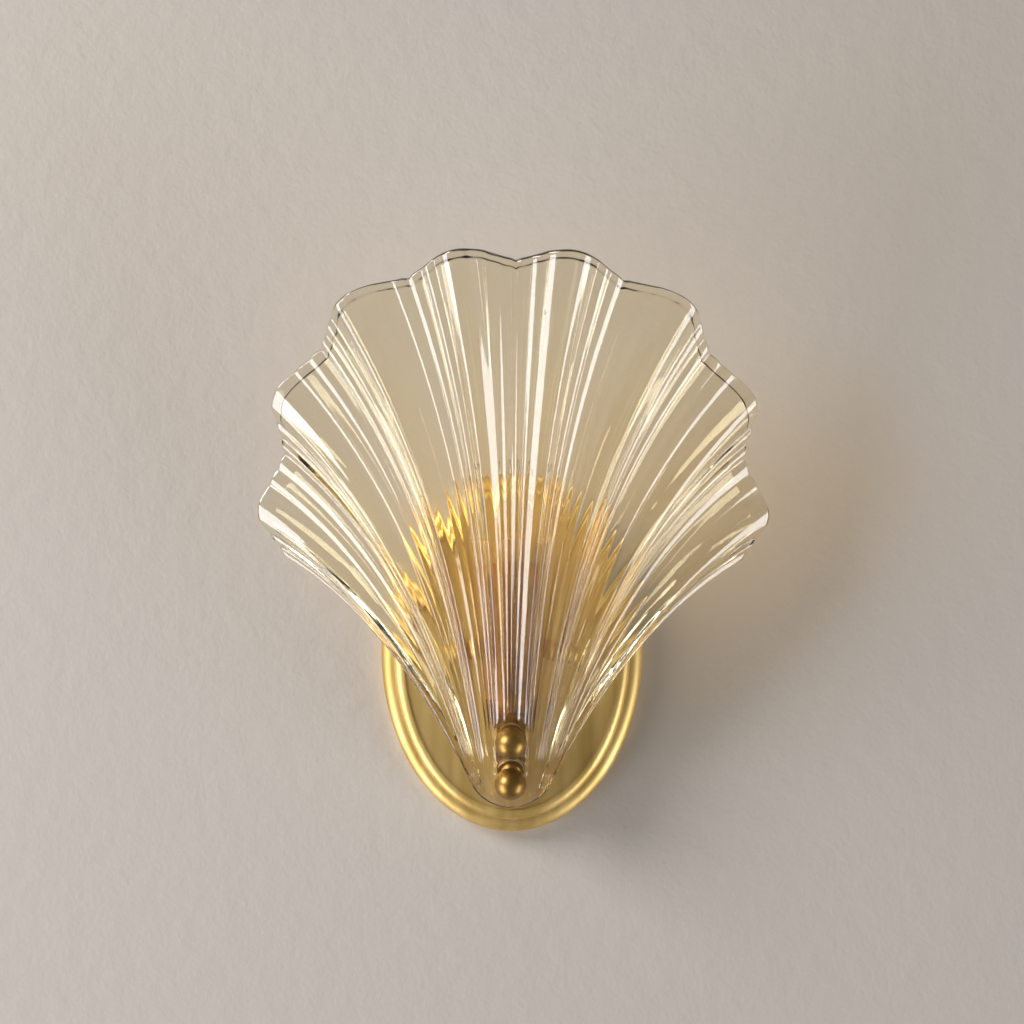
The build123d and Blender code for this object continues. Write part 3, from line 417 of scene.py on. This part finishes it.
def make_glass():
    """The fluted glass: a front and a back grid, joined round the lip."""
    across, along = glass_grid()
    columns, rows = len(across), len(along)
    across, along = np.broadcast_arrays(across[:, None], along[None, :])
    plain, normals = plain_front(across, along)
    placed = (FAN_HALF_ANGLE * across, along, edge_distance(plain))
    front = seat_lands(plain + normals * front_height(*placed)[..., None], FRONT_LAND_DEPTH)
    back = seat_lands(plain + normals * back_height(*placed)[..., None], REAR_LAND_DEPTH)
    points = np.concatenate([front.reshape(-1, 3), back.reshape(-1, 3)])
    shade = new_object("fluted_glass_shade", points, sheet_faces(columns, rows))
    cut_holes(shade)
    shade.data.set_sharp_from_angle(angle=radians(SHARP_EDGE_ANGLE))
    shade.data.materials.clear()
    shade.data.materials.append(SHADE_GLASS)
    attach(shade, "fixture")
    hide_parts("glass_shade")


# ---------------------------------------------------------------- materials
def material(name):
    """A new node material, with its node tree and its Principled shader."""
    made = bpy.data.materials.new(name)
    made.use_nodes = True
    nodes = made.node_tree.nodes
    return made, made.node_tree, nodes["Principled BSDF"]


def noise(tree, scale, detail=TONE_DETAIL, stretch=UNBRUSHED):
    """Noise in the object's own coordinates, stretched by axis."""
    place = tree.nodes.new("ShaderNodeTexCoord")
    mapping = tree.nodes.new("ShaderNodeMapping")
    mapping.inputs["Scale"].default_value = stretch
    pattern = tree.nodes.new("ShaderNodeTexNoise")
    pattern.inputs["Scale"].default_value = scale
    pattern.inputs["Detail"].default_value = detail
    tree.links.new(place.outputs["Object"], mapping.inputs["Vector"])
    tree.links.new(mapping.outputs["Vector"], pattern.inputs["Vector"])
    return pattern.outputs["Fac"]


def ramp(tree, source, low, high, low_at=TONE_START, high_at=TONE_END):
    """A ramp between two colours, which are reached at two values of the source."""
    node = tree.nodes.new("ShaderNodeValToRGB")
    node.color_ramp.elements[0].position = low_at
    node.color_ramp.elements[0].color = (*low, 1)
    node.color_ramp.elements[1].position = high_at
    node.color_ramp.elements[1].color = (*high, 1)
    tree.links.new(source, node.inputs["Fac"])
    return node.outputs["Color"]


def spread(tree, source, low, high, start=0.0, end=1.0):
    """Maps the values from start to end onto those from low to high."""
    node = tree.nodes.new("ShaderNodeMapRange")
    node.inputs["From Min"].default_value = start
    node.inputs["From Max"].default_value = end
    node.inputs["To Min"].default_value = low
    node.inputs["To Max"].default_value = high
    tree.links.new(source, node.inputs["Value"])
    return node.outputs["Result"]


def either(tree, first, second):
    """1 where either of two shares is 1."""
    node = tree.nodes.new("ShaderNodeMath")
    node.operation = "MAXIMUM"
    tree.links.new(first, node.inputs[0])
    tree.links.new(second, node.inputs[1])
    return node.outputs["Value"]


def show_instead(tree, share, usual, other):
    """Shows the usual shader, and the other one where the share is 1."""
    mix = tree.nodes.new("ShaderNodeMixShader")
    tree.links.new(share, mix.inputs[0])
    tree.links.new(usual.outputs["BSDF"], mix.inputs[1])
    tree.links.new(other.outputs["BSDF"], mix.inputs[2])
    tree.links.new(mix.outputs["Shader"], tree.nodes["Material Output"].inputs["Surface"])


def bump(tree, shader, source, strength, distance, after=None):
    """Adds a bump to a shader, on top of an earlier one if given."""
    node = tree.nodes.new("ShaderNodeBump")
    node.inputs["Strength"].default_value = strength
    node.inputs["Distance"].default_value = distance
    tree.links.new(source, node.inputs["Height"])
    if after is not None:
        tree.links.new(after, node.inputs["Normal"])
    tree.links.new(node.outputs["Normal"], shader.inputs["Normal"])
    return node.outputs["Normal"]


def surface(tree, shader, grain, roughness, depth):
    """Lets one grain pattern both roughen and lift a surface."""
    gloss = spread(tree, grain, roughness - GLOSS_DROP, roughness + GLOSS_RISE)
    tree.links.new(gloss, shader.inputs["Roughness"])
    bump(tree, shader, grain, BUMP_STRENGTH, depth)


def metal(name, low, high, roughness, brush=UNBRUSHED):
    """Metal with patchy tone, a fine brushed relief and slightly uneven gloss."""
    made, tree, shader = material(name)
    shader.inputs["Metallic"].default_value = 1.0
    tone = noise(tree, METAL_TONE_SCALE, stretch=brush)
    tree.links.new(ramp(tree, tone, low, high), shader.inputs["Base Color"])
    surface(tree, shader, noise(tree, BRUSH_SCALE, BRUSH_DETAIL, stretch=brush), roughness, BRUSH_DEPTH)
    return made


def dull(name, low, high, roughness):
    """Plastic, rubber or lacquer: patchy tone and a fine grain."""
    made, tree, shader = material(name)
    tone = noise(tree, DULL_TONE_SCALE)
    tree.links.new(ramp(tree, tone, low, high), shader.inputs["Base Color"])
    surface(tree, shader, noise(tree, GRAIN_SCALE, GRAIN_DETAIL), roughness, GRAIN_DEPTH)
    return made


def height_share(tree, low, high):
    """0 at a low height and 1 at a high one, in the object's own coordinates."""
    place = tree.nodes.new("ShaderNodeTexCoord")
    split = tree.nodes.new("ShaderNodeSeparateXYZ")
    tree.links.new(place.outputs["Object"], split.inputs["Vector"])
    return spread(tree, split.outputs["Z"], 0.0, 1.0, start=low * MM, end=high * MM)


def glass(
    name, tint, shadow_tint, roughness, ripple_scale, ripple_depth,
    foot_shadow=None, body=None, density=0.0, lustre=0.0
):
    """Clear glass with a slight ripple. Light for shadows goes straight through, tinted.

    A foot shadow colour is for the foot, where ribs crowd together and let less light straight through.
    Where a body colour is given, the glass also takes up more light where it is thicker. Lustre is a
    thin, bright skin that spreads reflections of the lamps.
    """
    made, tree, shader = material(name)
    shader.inputs["Base Color"].default_value = (*tint, 1)
    shader.inputs["Transmission Weight"].default_value = 1.0
    shader.inputs["Roughness"].default_value = roughness
    shader.inputs["IOR"].default_value = GLASS_IOR
    shader.inputs["Coat Weight"].default_value = lustre
    shader.inputs["Coat IOR"].default_value = LUSTRE_IOR
    shader.inputs["Coat Roughness"].default_value = LUSTRE_SPREAD * roughness
    bump(tree, shader, noise(tree, ripple_scale, RIPPLE_DETAIL), RIPPLE_STRENGTH, ripple_depth)
    through = tree.nodes.new("ShaderNodeBsdfTransparent")
    through.inputs["Color"].default_value = (*shadow_tint, 1)
    if foot_shadow is not None:
        height = height_share(tree, SHADOW_FOOT_HEIGHT, SHADOW_CLEAR_HEIGHT)
        colour = ramp(tree, height, foot_shadow, shadow_tint, low_at=0.0, high_at=1.0)
        tree.links.new(colour, through.inputs["Color"])
    path = tree.nodes.new("ShaderNodeLightPath")
    show_instead(tree, path.outputs["Is Shadow Ray"], shader, through)
    if body is not None:
        absorb = tree.nodes.new("ShaderNodeVolumeAbsorption")
        absorb.inputs["Color"].default_value = (*body, 1)
        absorb.inputs["Density"].default_value = density
        tree.links.new(absorb.outputs["Volume"], tree.nodes["Material Output"].inputs["Volume"])
    return made


BRASS = metal("satin_brass", (0.27, 0.155, 0.042), (0.36, 0.215, 0.062), roughness=0.38)
PLATE_BRASS = metal(
    "brushed_brass_plate", (0.67, 0.455, 0.15), (0.91, 0.66, 0.27), roughness=0.48, brush=BRUSHED_UPRIGHT
)
# painted shade: a darker copy of the brass for the arm, the lamp's sleeve and its cap, which sit in the
# glass's shade
SHADE_DARKENED_BRASS = metal("brass_inside_darkened_as_shade", (0.34, 0.18, 0.06), (0.52, 0.29, 0.10), roughness=0.34)
STEEL = metal("zinc_plated_steel", (0.46, 0.45, 0.43), (0.60, 0.59, 0.56), roughness=0.34)
NICKEL = metal("nickel_contact", (0.55, 0.52, 0.47), (0.68, 0.65, 0.60), roughness=0.26)
TUNGSTEN = metal("tungsten_wire", (0.16, 0.15, 0.15), (0.26, 0.25, 0.24), roughness=0.42)
GREEN_SCREW = dull("green_lacquered_screw", (0.02, 0.13, 0.04), (0.03, 0.19, 0.06), roughness=0.35)
HOLDER = dull("tan_phenolic", (0.40, 0.25, 0.09), (0.50, 0.32, 0.12), roughness=0.28)
INSULATOR = dull("moulded_insulator", (0.62, 0.59, 0.52), (0.70, 0.67, 0.60), roughness=0.45)
SILICONE = dull("silicone_gasket", (0.52, 0.48, 0.40), (0.62, 0.58, 0.50), roughness=0.50)
WHITE_LEAD = dull("white_lead_sleeve", (0.66, 0.65, 0.61), (0.74, 0.73, 0.69), roughness=0.50)
BLACK_LEAD = dull("black_lead_sleeve", (0.02, 0.02, 0.02), (0.04, 0.04, 0.04), roughness=0.50)
SHADE_GLASS = glass(
    "champagne_glass",
    tint=(0.99, 0.97, 0.93),
    shadow_tint=(0.89, 0.83, 0.74),
    roughness=0.02,
    ripple_scale=55.0,
    ripple_depth=0.0006,
    foot_shadow=(0.13, 0.10, 0.075),
    body=(0.95, 0.865, 0.56),
    density=102.0,
    lustre=0.42,
)
LAMP_GLASS = glass(
    "lamp_glass",
    tint=(0.98, 0.98, 0.98),
    shadow_tint=(0.95, 0.95, 0.95),
    roughness=0.01,
    ripple_scale=90.0,
    ripple_depth=0.0002,
)

NODE_MATERIALS = {
    "backplate": PLATE_BRASS,
    "wall_crossbar": STEEL,
    "crossbar_studs": STEEL,
    "stud_lock_nuts": STEEL,
    "backplate_cap_nuts": PLATE_BRASS,
    "ground_screw": GREEN_SCREW,
    "support_arm": SHADE_DARKENED_BRASS,
    "arm_lock_washer": STEEL,
    "arm_nut": STEEL,
    "lead_bush": INSULATOR,
    "rear_gaskets": SILICONE,
    "front_gaskets": SILICONE,
    "upper_knob_washer": BRASS,
    "lower_knob_washer": BRASS,
    "upper_ball_screw": BRASS,
    "lower_ball_screw": BRASS,
    "sleeve_cap": SHADE_DARKENED_BRASS,
    "lamp_sleeve": SHADE_DARKENED_BRASS,
    "lamp_stem": STEEL,
    "stem_nuts": STEEL,
    "holder_bridge": STEEL,
    "lampholder": HOLDER,
    "holder_screws": STEEL,
    "contact_clips": NICKEL,
    "lamp_glass": LAMP_GLASS,
    "lamp_pins": NICKEL,
    "lamp_filament": TUNGSTEN,
    "left_lead": WHITE_LEAD,
    "right_lead": BLACK_LEAD,
    "terminal_block": INSULATOR,
    "terminal_screws": STEEL,
}


def dress_nodes():
    """Gives each CAD node its material."""
    for node, made in NODE_MATERIALS.items():
        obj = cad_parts[node]
        for slot in obj.material_slots:
            slot.material = made


# ---------------------------------------------------------------- stage: wall, lights, camera
def make_wall():
    """Warm grey plaster wall. From behind it is clear and lets light in, so that the back can be seen."""
    half = WALL_HALF_SIZE
    corners = [(x, WALL_GAP, z) for x, z in ((-half, -half), (half, -half), (half, half), (-half, half))]
    wall = new_object("plaster_wall", corners, [(0, 1, 2, 3)], smooth=False)
    made, tree, shader = material("warm_grey_plaster")
    tree.links.new(ramp(tree, noise(tree, WALL_TONE_SCALE), *WALL_TONES), shader.inputs["Base Color"])
    shader.inputs["Roughness"].default_value = WALL_ROUGHNESS
    relief = None
    for scale, strength, depth in WALL_RELIEF:
        relief = bump(tree, shader, noise(tree, scale), strength, depth, after=relief)
    clear = tree.nodes.new("ShaderNodeBsdfTransparent")
    side = tree.nodes.new("ShaderNodeNewGeometry")
    path = tree.nodes.new("ShaderNodeLightPath")
    unseen = either(tree, side.outputs["Backfacing"], path.outputs["Is Shadow Ray"])
    show_instead(tree, unseen, shader, clear)
    wall.data.materials.append(made)


def soft_light(name, azimuth, elevation, distance, width, height, radiance, colour):
    """A softbox facing the shade. Azimuth is from the camera's side, positive to the right."""
    turn, rise = radians(azimuth), radians(elevation)
    away = Vector((sin(turn) * cos(rise), -cos(turn) * cos(rise), sin(rise)))
    lamp = bpy.data.lights.new(name, "AREA")
    lamp.shape = "RECTANGLE"
    lamp.size = width
    lamp.size_y = height
    lamp.energy = radiance * pi * width * height
    lamp.color = colour
    obj = bpy.data.objects.new(name, lamp)
    obj.location = Vector((0, 0, CAMERA_HEIGHT * MM)) + away * distance
    obj.rotation_euler = away.to_track_quat("Z", "Y").to_euler()
    bpy.context.scene.collection.objects.link(obj)


def make_lights():
    """The softboxes. The one behind the wall, for views of the back, isn't seen through the glass."""
    for name, settings in SOFTBOXES.items():
        soft_light(name, *settings)
    bpy.data.objects["back_softbox"].visible_transmission = False


def make_world():
    """A grey studio where the camera, metal or glass shows it, and a dimmer one that lights the rest."""
    world = bpy.data.worlds.new("studio")
    world.use_nodes = True
    tree = world.node_tree
    back = tree.nodes["Background"]
    back.inputs["Color"].default_value = (*WORLD_COLOUR, 1)
    path = tree.nodes.new("ShaderNodeLightPath")
    seen = path.outputs["Is Camera Ray"]
    for kind in ("Is Glossy Ray", "Is Transmission Ray"):
        seen = either(tree, seen, path.outputs[kind])
    tree.links.new(spread(tree, seen, WORLD_LIGHT, WORLD_SEEN), back.inputs["Strength"])
    bpy.context.scene.world = world


def make_camera():
    """The photograph's camera: level, straight on, with a slight roll about the backplate's centre."""
    camera = bpy.data.cameras.new("camera")
    camera.sensor_width = SENSOR_WIDTH
    camera.lens = PIXELS_PER_MM * CAMERA_DISTANCE * SENSOR_WIDTH / IMAGE_PIXELS
    obj = bpy.data.objects.new("camera", camera)
    roll = Matrix.Rotation(-radians(CAMERA_ROLL), 4, "Y")
    place = Matrix.Translation((0, -CAMERA_DISTANCE * MM, CAMERA_HEIGHT * MM))
    obj.matrix_world = roll @ place @ Matrix.Rotation(pi / 2, 4, "X")
    bpy.context.scene.collection.objects.link(obj)
    bpy.context.scene.camera = obj


bpy.context.scene.view_settings.view_transform = "Standard"
make_glass()
dress_nodes()
make_wall()
make_lights()
make_world()
make_camera()
